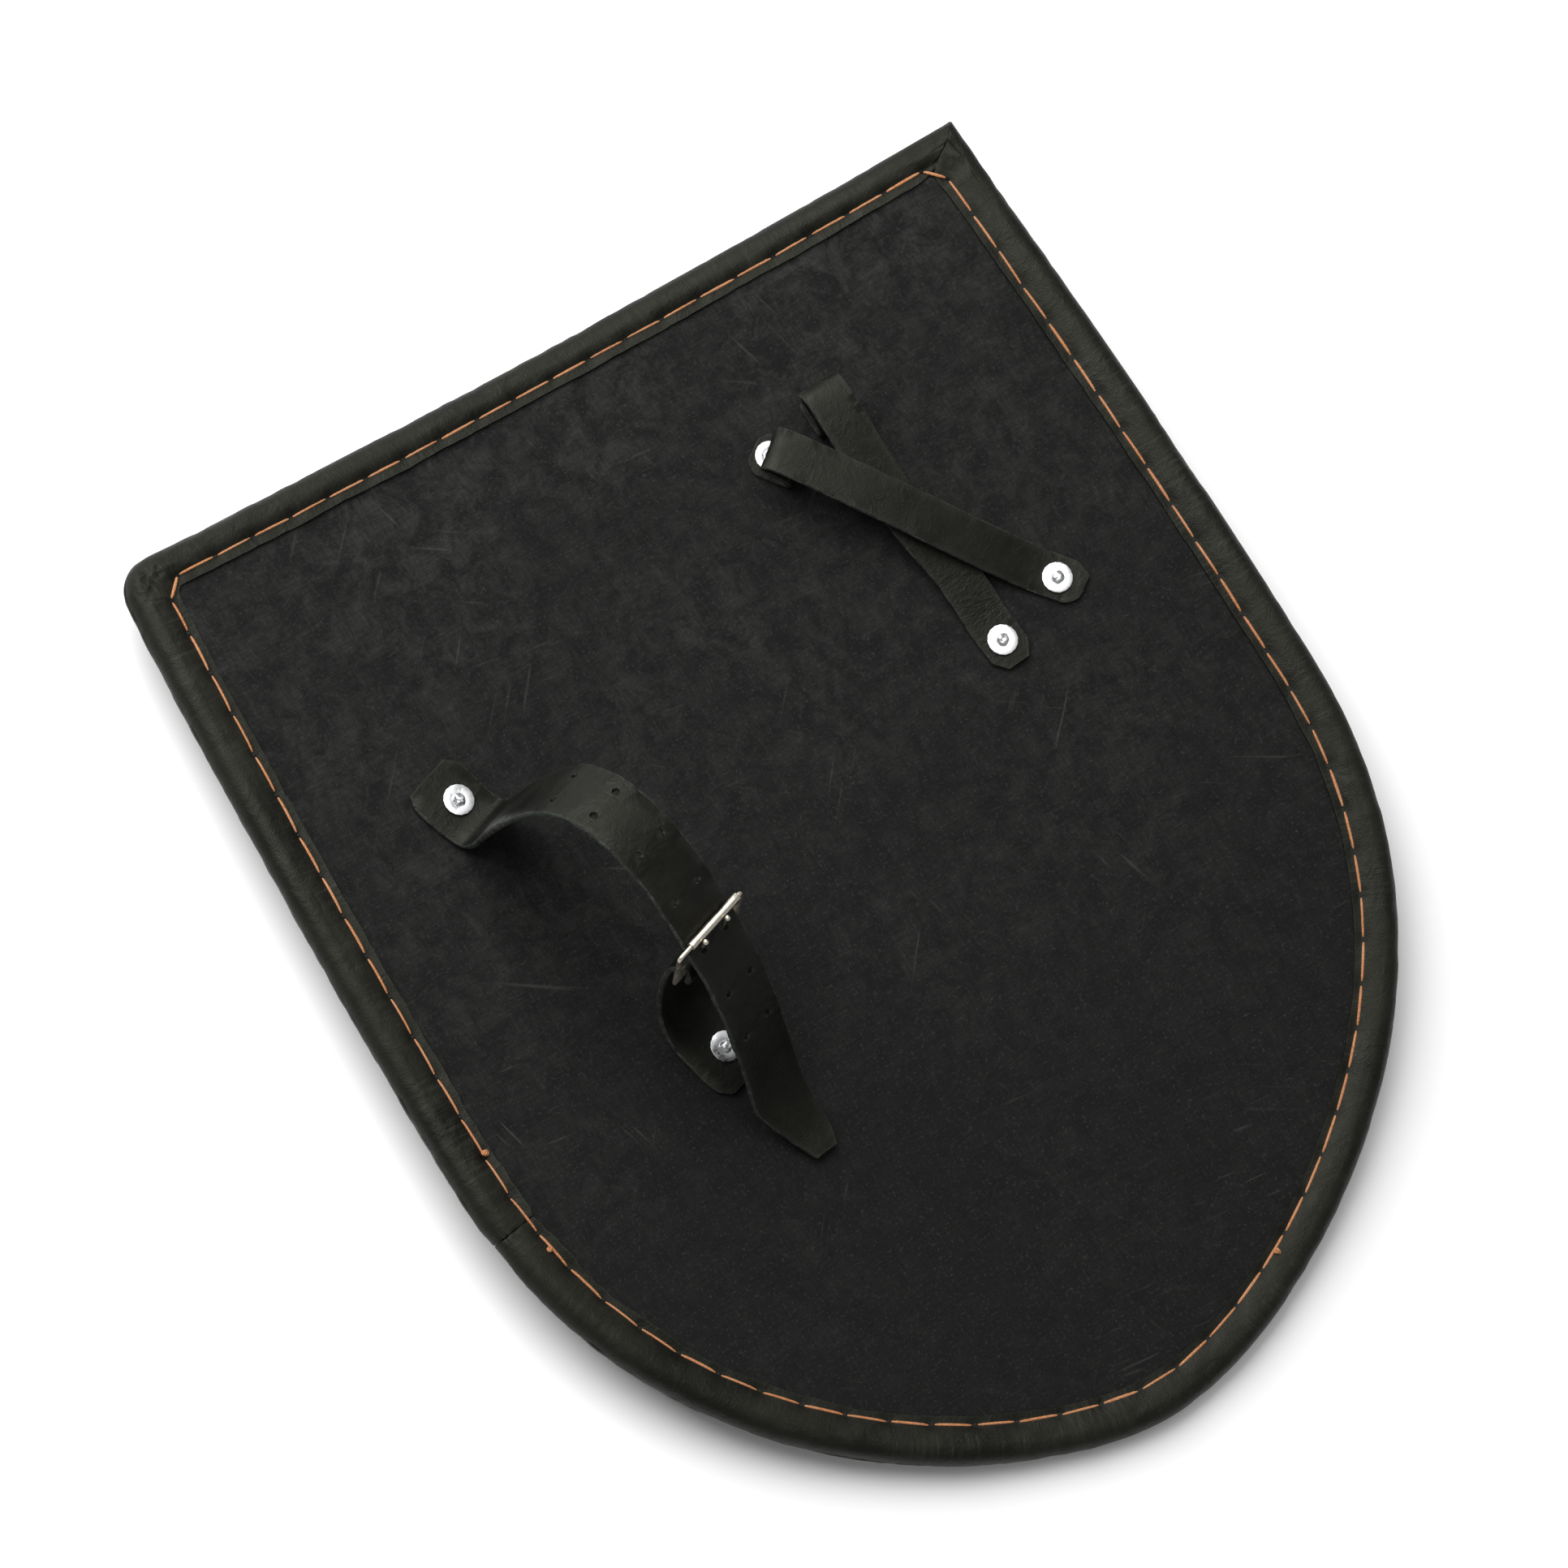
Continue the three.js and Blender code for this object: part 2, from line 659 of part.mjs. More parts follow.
function rivetGeometry(thickness) {
  const front = -BOARD_HALF - GAP;
  const seat = BOARD_HALF + LAY_GAP + thickness + GAP + WASHER.thickness + GAP / 2;
  const { radius, height } = FRONT_HEAD;
  const profile = [
    [0, front - height], [radius * 0.6, front - height * 0.86], [radius * 0.9, front - height * 0.5],
    [radius, front], [SHANK_RADIUS, front], [SHANK_RADIUS, seat], [DOME.radius, seat],
    [DOME.radius * 0.92, seat + DOME.height * 0.45], [DOME.radius * 0.55, seat + DOME.height * 0.88],
    [0, seat + DOME.height],
  ];
  return lathe(profile, LATHE_SEGMENTS);
}

// profile of radius and height turned about Z
function lathe(profile, segments) {
  const geometry = new THREE.LatheGeometry(profile.map(([r, z]) => new THREE.Vector2(r, z)), segments);
  geometry.rotateX(Math.PI / 2);
  return cleaned(geometry);
}

const boardBores = [];
fixings.forEach(({ name, seat, run, side, strap }) => {
  const plan = seat.plan(run, side);
  const normal = normalAt(plan.x);
  const centre = lift(plan.x, plan.y, 0);
  const through = normal.clone().multiplyScalar(BOARD_HALF * 3);
  const ends = [centre.clone().sub(through), centre.clone().add(through)];
  boardBores.push(rod(...ends, SHANK_BORE));
  strap.bore(...ends, SHANK_BORE);
  const turn = new THREE.Quaternion().setFromUnitVectors(UP, normal);
  [
    addNode(`washer_${name}`, washerGeometry(strap.thickness), LOOK.steel),
    addNode(`rivet_${name}`, rivetGeometry(strap.thickness), LOOK.steel),
  ].forEach(mesh => {
    mesh.position.copy(centre);
    mesh.quaternion.copy(turn);
  });
});

addNode('grip_strap_over', toGeometry(gripOver.solid), LOOK.leather);
addNode('grip_strap_under', toGeometry(gripUnder.solid), LOOK.leather);
addNode('arm_strap', toGeometry(armStrap.solid), LOOK.leather);
addNode('buckle_strap', toGeometry(buckleStrap.solid), LOOK.leather);
addNode('board', toGeometry(boardSolid(boardBores)), LOOK.canvas);

export default shield;
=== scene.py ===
import json
import math
import random

import bpy
from mathutils import Euler, Matrix, Vector, noise
from mathutils.geometry import interpolate_bezier
from mathutils.kdtree import KDTree


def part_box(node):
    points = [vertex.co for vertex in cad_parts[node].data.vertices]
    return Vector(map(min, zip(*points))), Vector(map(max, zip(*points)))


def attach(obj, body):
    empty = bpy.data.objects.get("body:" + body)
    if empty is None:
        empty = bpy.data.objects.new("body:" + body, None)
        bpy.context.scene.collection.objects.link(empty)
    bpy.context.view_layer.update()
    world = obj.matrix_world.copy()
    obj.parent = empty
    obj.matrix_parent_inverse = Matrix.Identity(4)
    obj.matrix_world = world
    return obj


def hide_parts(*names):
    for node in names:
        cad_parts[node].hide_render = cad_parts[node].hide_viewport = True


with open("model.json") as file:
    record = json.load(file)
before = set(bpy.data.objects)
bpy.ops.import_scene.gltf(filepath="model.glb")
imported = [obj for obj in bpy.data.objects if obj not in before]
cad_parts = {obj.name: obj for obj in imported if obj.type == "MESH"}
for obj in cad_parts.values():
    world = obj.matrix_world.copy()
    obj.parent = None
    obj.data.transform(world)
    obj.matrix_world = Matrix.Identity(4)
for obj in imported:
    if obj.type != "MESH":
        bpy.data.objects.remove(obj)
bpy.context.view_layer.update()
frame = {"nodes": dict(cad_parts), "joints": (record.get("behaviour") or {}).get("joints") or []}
rng = random.Random(11)
print("frame loaded")

sheet = {  # the bent board and its outline, in metres
    "length": 0.700,
    "topHalf": 0.2853,
    "widest": (0.299, 0.3824),
    "sideHandles": ((0.2913, 0.120), (0.299, 0.224)),
    "footHandles": ((0.299, 0.6013), (0.0843, 0.700)),
    "roundCorner": 0.022,
    "bendRadius": 1.428,
    "midHeight": 0.010,
}


def deselectAll():
    if bpy.context.object and bpy.context.object.mode != "OBJECT":
        bpy.ops.object.mode_set(mode="OBJECT")
    bpy.ops.object.select_all(action="DESELECT")


def makeActive(piece):
    deselectAll()
    piece.select_set(True)
    bpy.context.view_layer.objects.active = piece


def applyModifier(piece, kind, **settings):
    makeActive(piece)
    modifier = piece.modifiers.new(kind.lower(), kind)
    for key, value in settings.items():
        setattr(modifier, key, value)
    bpy.ops.object.modifier_apply(modifier=modifier.name)


def bakePlace(piece):
    makeActive(piece)
    bpy.ops.object.transform_apply(location=True, rotation=True, scale=True)


def smooth(piece, angle=40):
    makeActive(piece)
    bpy.ops.object.shade_smooth_by_angle(angle=math.radians(angle))


def join(pieces, name):
    makeActive(pieces[0])
    for piece in pieces:
        piece.select_set(True)
    bpy.ops.object.join()
    joined = bpy.context.object
    joined.name = name
    return joined


def copyOf(piece, place):
    twin = piece.copy()
    twin.data = piece.data.copy()
    twin.data.transform(place)
    bpy.context.collection.objects.link(twin)
    return twin


mergeGap = 3e-6
quadAngles = (35, 50)


def fromSolid(node, name, quads=True):
    source = frame["nodes"][node]
    twin = source.copy()
    twin.data = source.data.copy()
    for key in [key for key in twin.keys() if key.startswith("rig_")]:
        del twin[key]
    twin.parent = None
    twin.name = name
    bpy.context.collection.objects.link(twin)
    makeActive(twin)
    bpy.ops.mesh.customdata_custom_splitnormals_clear()
    bpy.ops.object.mode_set(mode="EDIT")
    bpy.ops.mesh.select_all(action="SELECT")
    bpy.ops.mesh.remove_doubles(threshold=mergeGap)
    if quads:
        faceAngle, shapeAngle = [math.radians(angle) for angle in quadAngles]
        bpy.ops.mesh.tris_convert_to_quads(face_threshold=faceAngle, shape_threshold=shapeAngle)
    bpy.ops.object.mode_set(mode="OBJECT")
    twin.data.materials.clear()
    return twin


def creaseSharp(piece, angle, value):
    makeActive(piece)
    bpy.ops.object.mode_set(mode="EDIT")
    bpy.ops.mesh.select_mode(type="EDGE")
    bpy.ops.mesh.select_all(action="DESELECT")
    bpy.ops.mesh.edges_select_sharp(sharpness=math.radians(angle))
    bpy.ops.transform.edge_crease(value=value)
    bpy.ops.mesh.select_mode(type="VERT")
    bpy.ops.object.mode_set(mode="OBJECT")


def wave(seed, *where):
    return noise.noise(Vector((*where, 0, 0)[:3]) + Vector((seed, seed * 1.7, seed * 0.6)))


def roughen(piece, change):  # change gives how far each place moves along its normal
    moves = [vertex.normal * change(vertex.co) for vertex in piece.data.vertices]
    for vertex, move in zip(piece.data.vertices, moves):
        vertex.co += move


def keepInside(piece, node):
    low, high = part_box(node)
    for vertex in piece.data.vertices:
        vertex.co = [min(max(c, a), b) for c, a, b in zip(vertex.co, low, high)]


def finishPiece(piece, body, slot, material, *nodes):
    if material:
        piece.data.materials.clear()
        piece.data.materials.append(material)
    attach(piece, body)
    for node in nodes:
        keepInside(piece, node)
    if nodes:
        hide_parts(*nodes)


def normalAt(x):
    lean = x / sheet["bendRadius"]
    return Vector((-lean, 0, math.sqrt(1 - lean * lean)))


def lift(x, y, height):
    r = sheet["bendRadius"]
    return Vector((x, y, sheet["midHeight"] + r - math.sqrt(r * r - x * x))) + normalAt(x) * height


def unbend(point):
    r = sheet["bendRadius"]
    drop = sheet["midHeight"] + r - point.z
    reach = math.hypot(point.x, drop)
    return Vector((point.x * r / reach, point.y)), r - reach


def halfEdge(side, count=180):
    def at(spot):
        return Vector((side * spot[0], sheet["length"] / 2 - spot[1], 0))

    start, widest, foot = at((sheet["topHalf"], 0)), at(sheet["widest"]), at((0, sheet["length"]))
    upper = interpolate_bezier(start, *[at(h) for h in sheet["sideHandles"]], widest, count)
    lower = interpolate_bezier(widest, *[at(h) for h in sheet["footHandles"]], foot, count)
    return [p.to_2d() for p in upper + lower[1:]]


topStops = 240
cornerStops = 16


def roundedEdge():
    top, half, r = sheet["length"] / 2, sheet["topHalf"], sheet["roundCorner"]
    points = [Vector((half + (r - 2 * half) * i / topStops, top)) for i in range(topStops + 1)]
    for i in range(1, cornerStops + 1):
        turn = math.pi / 2 * i / cornerStops
        points.append(Vector((r - half - r * math.sin(turn), top - r + r * math.cos(turn))))
    points += [p for p in halfEdge(-1) if p.y < top - r - 0.001]
    points += list(reversed(halfEdge(1)))[1:]
    return points


class EdgePath:  # stops round the outline, turning left, with the way inward at each
    def __init__(self, points):
        self.points = points
        self.run = [0.0]
        for a, b in zip(points, points[1:]):
            self.run.append(self.run[-1] + (b - a).length)
        self.inward = []
        for i in range(len(points)):
            travel = points[min(i + 1, len(points) - 1)] - points[max(i - 1, 0)]
            travel.normalize()
            self.inward.append(Vector((-travel.y, travel.x)))
        self.tree = KDTree(len(points))
        for i, p in enumerate(points):
            self.tree.insert((p.x, p.y, 0), i)
        self.tree.balance()

    def near(self, plan):
        i = self.tree.find((plan.x, plan.y, 0))[1]
        away = plan - self.points[i]
        inward = self.inward[i]
        return self.run[i] + away.dot(Vector((inward.y, -inward.x))), away.dot(inward), inward


edgePath = EdgePath(roundedEdge())
topLength = 2 * sheet["topHalf"] - sheet["roundCorner"]
cornerA = Vector((sheet["topHalf"], sheet["length"] / 2))
cornerB = Vector((-sheet["topHalf"], sheet["length"] / 2))


def put(tree, kind, inputs=None, **settings):
    node = tree.nodes.new(kind)
    for key, value in settings.items():
        setattr(node, key, value)
    for key, value in (inputs or {}).items():
        socket = node.inputs[key]
        if isinstance(value, bpy.types.NodeSocket):
            tree.links.new(value, socket)
        else:
            socket.default_value = value
    return node


def maths(tree, operation, a, b=0.5, clamp=False):
    return put(tree, "ShaderNodeMath", {0: a, 1: b}, operation=operation, use_clamp=clamp).outputs[0]


def remap(tree, value, low, high, toLow=0.0, toHigh=1.0):
    return put(tree, "ShaderNodeMapRange", {"Value": value, "From Min": low, "From Max": high,
                                            "To Min": toLow, "To Max": toHigh}).outputs[0]


def mixColour(tree, factor, a, b, blend="MIX"):
    node = put(tree, "ShaderNodeMix", {0: factor, 6: a, 7: b}, data_type="RGBA", blend_type=blend)
    return node.outputs[2]


def speckle(tree, vector, scale, detail=3.0, rough=0.55, distortion=0.0):
    return put(tree, "ShaderNodeTexNoise", {"Vector": vector, "Scale": scale, "Detail": detail,
                                            "Roughness": rough, "Distortion": distortion}).outputs[0]


def stretch(tree, vector, scale, turn=0.0):
    return put(tree, "ShaderNodeMapping", {"Vector": vector, "Scale": scale,
                                           "Rotation": (0, 0, math.radians(turn))}).outputs[0]


def newGroup(name, inputs, outputs):
    tree = bpy.data.node_groups.new(name, "ShaderNodeTree")
    kinds = {"v": "NodeSocketVector", "f": "NodeSocketFloat"}
    for label, kind, value in inputs:
        socket = tree.interface.new_socket(label, in_out="INPUT", socket_type=kinds[kind])
        if value is not None:
            socket.default_value = value
    for label, kind in outputs:
        tree.interface.new_socket(label, in_out="OUTPUT", socket_type=kinds[kind])
    return tree, tree.nodes.new("NodeGroupInput").outputs, tree.nodes.new("NodeGroupOutput").inputs


def groupIn(tree, group, inputs):
    return put(tree, "ShaderNodeGroup", inputs, node_tree=group).outputs


def newMaterial(name):
    material = bpy.data.materials.new(name)
    material.use_nodes = True
    tree = material.node_tree
    shader = tree.nodes["Principled BSDF"]
    return material, tree, shader


def bumpInto(tree, shader, height, distance, strength=1.0):
    bump = put(tree, "ShaderNodeBump", {"Height": height, "Distance": distance, "Strength": strength})
    tree.links.new(bump.outputs[0], shader.inputs["Normal"])


scratchSets = (  # turn, how drawn out, how fine, seed
    (32, 17, 330, 1.3),
    (-48, 21, 380, 4.1),
    (74, 26, 420, 7.7),
    (8, 34, 480, 9.2),
)


def makeWear():  # dusty patches, rubbed flecks and fine scratches on anything dark
    tree, inn, out = newGroup(
        "wearMarks", [("Vector", "v", None), ("Patch Scale", "f", 14.0), ("Fleck Scale", "f", 500.0)],
        [("Patches", "f"), ("Flecks", "f"), ("Scratches", "f")])
    big = speckle(tree, inn["Vector"], inn["Patch Scale"], 5, 0.62)
    tree.links.new(remap(tree, big, 0.36, 0.68), out["Patches"])
    fine = speckle(tree, inn["Vector"], inn["Fleck Scale"], 2, 0.5)
    tree.links.new(remap(tree, fine, 0.58, 0.8), out["Flecks"])
    lines = []
    for turn, along, across, seed in scratchSets:
        turned = put(tree, "ShaderNodeVectorRotate", {
            "Vector": inn["Vector"], "Angle": math.radians(turn)}, rotation_type="Z_AXIS").outputs[0]
        laid = put(tree, "ShaderNodeMapping", {"Vector": turned, "Scale": (along, across, along),
                                               "Location": (seed, seed * 2.3, 0)}).outputs[0]
        line = remap(tree, speckle(tree, laid, 1.0, 1.0, 0.4, 0.15), 0.69, 0.78)
        shifted = put(tree, "ShaderNodeMapping", {
            "Vector": inn["Vector"], "Location": (seed, 0, seed)}).outputs[0]
        spots = remap(tree, speckle(tree, shifted, 12, 2), 0.52, 0.66)
        lines.append(maths(tree, "MULTIPLY", line, spots))
    total = lines[0]
    for line in lines[1:]:
        total = maths(tree, "MAXIMUM", total, line)
    tree.links.new(total, out["Scratches"])
    return tree


def makeGrain():  # small pebbles with long soft creases between them
    tree, inn, out = newGroup(
        "hideGrain", [("Vector", "v", None), ("Pebble Scale", "f", 900.0), ("Crease Scale", "f", 90.0)],
        [("Height", "f"), ("Creases", "f")])
    pebble = put(tree, "ShaderNodeTexVoronoi", {"Vector": inn["Vector"], "Scale": inn["Pebble Scale"]},
                 feature="DISTANCE_TO_EDGE").outputs[0]
    flat = remap(tree, pebble, 0.0, 0.25)
    crease = speckle(tree, inn["Vector"], inn["Crease Scale"], 6, 0.65, 0.6)
    ridge = maths(tree, "ABSOLUTE", maths(tree, "SUBTRACT", crease, 0.5))
    soft = remap(tree, ridge, 0.0, 0.16)
    tree.links.new(maths(tree, "ADD", maths(tree, "MULTIPLY", flat, 0.3), soft), out["Height"])
    tree.links.new(soft, out["Creases"])
    return tree


def makeRubbed():  # finds the raised edges that handling has rubbed
    tree, inn, out = newGroup("rubbedEdges", [("Low", "f", 0.52), ("High", "f", 0.6)], [("Mask", "f")])
    point = put(tree, "ShaderNodeNewGeometry").outputs["Pointiness"]
    mask = put(tree, "ShaderNodeMapRange", {"Value": point, "From Min": inn["Low"], "From Max": inn["High"]})
    tree.links.new(mask.outputs[0], out["Mask"])
    return tree


wearMarks = makeWear()
hideGrain = makeGrain()
rubbedEdges = makeRubbed()


canvasFinish = {
    # the dust colour also carries painted light towards the top edge
    "colour": (0.0044, 0.0044, 0.0043, 1), "dust": (0.029, 0.0287, 0.0272, 1),
    "fleck": (0.034, 0.0335, 0.032, 1), "scratch": (0.085, 0.083, 0.078, 1),
    "dustAmount": 0.62, "fleckAmount": 0.65, "scratchAmount": 0.3, "dustScale": 60.0,
    "threadScale": 330.0, "slubs": (60, 900), "threadShade": (0.72, 1.3),
    "roughness": 0.8, "sheen": 0.03, "specular": 0.13, "weaveDepth": 0.00025,
}


def makeCanvas():
    material, tree, shader = newMaterial("blackCanvas")
    place = put(tree, "ShaderNodeTexCoord").outputs["Object"]
    wear = groupIn(tree, wearMarks, {"Vector": place, "Patch Scale": 9.0, "Fleck Scale": 620.0})
    dust = remap(tree, speckle(tree, place, canvasFinish["dustScale"], 9, 0.78, 0.5), 0.42, 0.72)
    dustAndPaintedLight = maths(tree, "MULTIPLY", dust, remap(tree, wear["Patches"], 0, 1, 0.35, 1))
    # painted light falloff: the dust tone is laid on more towards the top edge and less towards the bottom,
    # over the real dust patches
    paintedFalloffY = put(tree, "ShaderNodeSeparateXYZ", {0: place}).outputs[1]
    dustAndPaintedLight = maths(tree, "MULTIPLY", dustAndPaintedLight, remap(tree, paintedFalloffY, -0.15, 0.33, 0.5, 1.9))
    dustAndPaintedLight = maths(tree, "MULTIPLY", dustAndPaintedLight, canvasFinish["dustAmount"])
    colour = mixColour(tree, dustAndPaintedLight, canvasFinish["colour"], canvasFinish["dust"])
    thin, thick = canvasFinish["slubs"]
    warpSlubs = speckle(tree, stretch(tree, place, (thin, thick, thin)), 1.0, 2)
    weftSlubs = speckle(tree, stretch(tree, place, (thick, thin, thin)), 1.0, 2)
    threads = maths(tree, "ADD", warpSlubs, weftSlubs)
    threadShade = remap(tree, threads, 0.75, 1.25, *canvasFinish["threadShade"])
    colour = mixColour(tree, 1.0, colour, put(tree, "ShaderNodeCombineColor", {
        0: threadShade, 1: threadShade, 2: threadShade}).outputs[0], "MULTIPLY")
    flecks = maths(tree, "MULTIPLY", wear["Flecks"], canvasFinish["fleckAmount"])
    colour = mixColour(tree, flecks, colour, canvasFinish["fleck"])
    scratched = remap(tree, speckle(tree, place, 11, 3), 0.46, 0.6)
    scratches = maths(tree, "MULTIPLY", wear["Scratches"], scratched)
    scratches = maths(tree, "MULTIPLY", scratches, canvasFinish["scratchAmount"])
    colour = mixColour(tree, scratches, colour, canvasFinish["scratch"])
    tree.links.new(colour, shader.inputs["Base Color"])
    shader.inputs["Roughness"].default_value = canvasFinish["roughness"]
    shader.inputs["Specular IOR Level"].default_value = canvasFinish["specular"]
    shader.inputs["Sheen Weight"].default_value = canvasFinish["sheen"]
    shader.inputs["Sheen Roughness"].default_value = 0.6
    bands = {"Vector": place, "Scale": canvasFinish["threadScale"], "Distortion": 0.4, "Detail": 1.0}
    warp = put(tree, "ShaderNodeTexWave", bands, bands_direction="X").outputs["Fac"]
    weft = put(tree, "ShaderNodeTexWave", bands, bands_direction="Y").outputs["Fac"]
    height = maths(tree, "ADD", maths(tree, "MULTIPLY", warp, weft), maths(tree, "MULTIPLY", threads, 1.2))
    bumpInto(tree, shader, height, canvasFinish["weaveDepth"], 0.8)
    return material


leatherLooks = {
    "binding": {"dark": (0.0033, 0.0033, 0.0026, 1), "light": (0.0165, 0.0163, 0.0118, 1), "patch": 16.0,
                "rough": (0.46, 0.64), "grain": 700.0, "crease": 70.0, "depth": 0.00022, "flecks": 0.25},
    "strap": {"dark": (0.0020, 0.0020, 0.0017, 1), "light": (0.0082, 0.0083, 0.0066, 1), "patch": 30.0,
              "rough": (0.40, 0.58), "grain": 900.0, "crease": 110.0, "depth": 0.00016, "flecks": 0.2},
    "cutEdge": {"dark": (0.012, 0.0145, 0.0140, 1), "light": (0.085, 0.098, 0.088, 1), "patch": 240.0,
                "rough": (0.85, 0.95), "grain": 1500.0, "crease": 600.0, "depth": 0.0003, "flecks": 0.5},
}
leatherWear = {
    # the rim and hollow colours here are painted shade
    "rubbed": (0.042, 0.043, 0.037, 1), "streak": (0.052, 0.053, 0.044, 1), "rimShade": (0.0022, 0.0022, 0.0019, 1),
    "hollow": (0.0016, 0.0016, 0.0014, 1), "specular": 0.22, "tint": (0.97, 0.965, 0.83, 1),
    "creaseShade": 0.45, "fleckLight": 2.2,
}


def shaded(colour, factor):
    return tuple(min(1, factor * part) for part in colour[:3]) + (1,)


def makeLeather(name, look, banded=False, wrinkleAt=None):
    material, tree, shader = newMaterial(name)
    place = put(tree, "ShaderNodeTexCoord").outputs["Object"]
    wear = groupIn(tree, wearMarks, {"Vector": place, "Patch Scale": look["patch"], "Fleck Scale": 800.0})
    grain = groupIn(tree, hideGrain, {
        "Vector": place, "Pebble Scale": look["grain"], "Crease Scale": look["crease"]})
    colour = mixColour(tree, maths(tree, "MULTIPLY", wear["Patches"], 0.75), look["dark"], look["light"])
    # painted shade: the grain's crease lines are darkened in the colour
    dark = maths(tree, "MULTIPLY", maths(tree, "SUBTRACT", 1.0, grain["Creases"]), 0.35)
    colour = mixColour(tree, dark, colour, shaded(look["dark"], leatherWear["creaseShade"]))
    flecks = maths(tree, "MULTIPLY", wear["Flecks"], look["flecks"])
    colour = mixColour(tree, flecks, colour, shaded(look["light"], leatherWear["fleckLight"]))
    height = grain["Height"]
    if banded:  # rubbed streaks across the band, painted shade on the outer rim and painted shade in the stitch hollows
        band = put(tree, "ShaderNodeUVMap", None, uv_map="band").outputs[0]
        streaks = speckle(tree, stretch(tree, band, (420, 26, 1)), 1.0, 4, 0.7)
        patchy = speckle(tree, stretch(tree, band, (9, 30, 1)), 1.0, 3)
        rub = maths(tree, "MULTIPLY", remap(tree, streaks, 0.5, 0.78), remap(tree, patchy, 0.4, 0.66))
        colour = mixColour(tree, maths(tree, "MULTIPLY", rub, 0.55), colour, leatherWear["streak"])
        height = maths(tree, "ADD", height, maths(tree, "MULTIPLY", streaks, 0.5))
        inset = put(tree, "ShaderNodeSeparateXYZ", {0: band}).outputs[1]
        # painted shade: the outer edge of the band is darkened where the padded roll turns away from the light
        colour = mixColour(tree, remap(tree, inset, 0.002, 0.0075, 0.62, 0.0), colour, leatherWear["rimShade"])
        # painted shade in the stitch dips and crumpled corner creases, read from the per-point shade attribute
        hollow = put(tree, "ShaderNodeAttribute", None, attribute_name="hollow").outputs["Fac"]
        hollow = maths(tree, "MULTIPLY", hollow, 0.85, True)
        colour = mixColour(tree, hollow, colour, leatherWear["hollow"])
    if wrinkleAt:
        spot, reach, turn = wrinkleAt
        near = put(tree, "ShaderNodeVectorMath", {0: place, 1: spot}, operation="DISTANCE").outputs["Value"]
        amount = remap(tree, near, reach, reach * 0.4)
        folds = speckle(tree, stretch(tree, place, (150, 420, 150), turn), 1.0, 4, 0.6, 0.8)
        folds = maths(tree, "MULTIPLY", maths(tree, "MULTIPLY", folds, amount), 5.0)
        height = maths(tree, "ADD", height, folds)
    edge = groupIn(tree, rubbedEdges, {"Low": 0.53, "High": 0.62})["Mask"]
    colour = mixColour(tree, maths(tree, "MULTIPLY", edge, 0.5), colour, leatherWear["rubbed"])
    tree.links.new(colour, shader.inputs["Base Color"])
    rough = remap(tree, wear["Patches"], 0, 1, *look["rough"])
    tree.links.new(rough, shader.inputs["Roughness"])
    shader.inputs["Specular IOR Level"].default_value = leatherWear["specular"]
    shader.inputs["Specular Tint"].default_value = leatherWear["tint"]
    bumpInto(tree, shader, height, look["depth"], 0.9)
    return material


metalLooks = {
    "zinc": {"colour": (0.86, 0.87, 0.88, 1), "stain": (0.46, 0.47, 0.48, 1),
             "rough": (0.24, 0.5), "line": 900.0},
    "nickel": {"colour": (0.76, 0.71, 0.60, 1), "stain": (0.40, 0.36, 0.28, 1),
               "rough": (0.24, 0.42), "line": 1400.0},
}


def makeMetal(name, look):
    material, tree, shader = newMaterial(name)
    place = put(tree, "ShaderNodeTexCoord").outputs["Object"]
    wear = groupIn(tree, wearMarks, {"Vector": place, "Patch Scale": 180.0, "Fleck Scale": 1500.0})
    fine = speckle(tree, place, look["line"], 3, 0.6)
    colour = mixColour(tree, maths(tree, "MULTIPLY", wear["Patches"], 0.25), look["colour"], look["stain"])
    colour = mixColour(tree, maths(tree, "MULTIPLY", wear["Flecks"], 0.4), colour, look["stain"])
    tree.links.new(colour, shader.inputs["Base Color"])
    shader.inputs["Metallic"].default_value = 1.0
    tree.links.new(remap(tree, maths(tree, "ADD", wear["Patches"], fine), 0.4, 1.4, *look["rough"]),
                   shader.inputs["Roughness"])
    bumpInto(tree, shader, fine, 0.00006, 0.6)
    return material


threadLook = {
    "dark": (0.24, 0.085, 0.028, 1), "bright": (0.56, 0.245, 0.105, 1), "faded": (0.50, 0.29, 0.16, 1),
    "roughness": 0.6, "specular": 0.3,
}


def makeThread():
    material, tree, shader = newMaterial("orangeThread")
    place = put(tree, "ShaderNodeTexCoord").outputs["Object"]
    strand = speckle(tree, place, 1500, 2)
    tone = speckle(tree, place, 60, 3)
    colour = mixColour(tree, remap(tree, strand, 0.35, 0.7), threadLook["dark"], threadLook["bright"])
    colour = mixColour(tree, remap(tree, tone, 0.4, 0.75, 0.0, 0.45), colour, threadLook["faded"])
    tree.links.new(colour, shader.inputs["Base Color"])
    shader.inputs["Roughness"].default_value = threadLook["roughness"]
    shader.inputs["Specular IOR Level"].default_value = threadLook["specular"]
    bumpInto(tree, shader, strand, 0.0002, 0.7)
    return material


# painted shade: a near-black finish for the sunk discs that stand in for the dark inside each needle hole
def makeHoleShade():
    material, tree, shader = newMaterial("needleHoleShade")
    place = put(tree, "ShaderNodeTexCoord").outputs["Object"]
    colour = mixColour(tree, speckle(tree, place, 900), (0.002, 0.002, 0.002, 1), (0.008, 0.007, 0.006, 1))
    tree.links.new(colour, shader.inputs["Base Color"])
    shader.inputs["Roughness"].default_value = 0.9
    return material


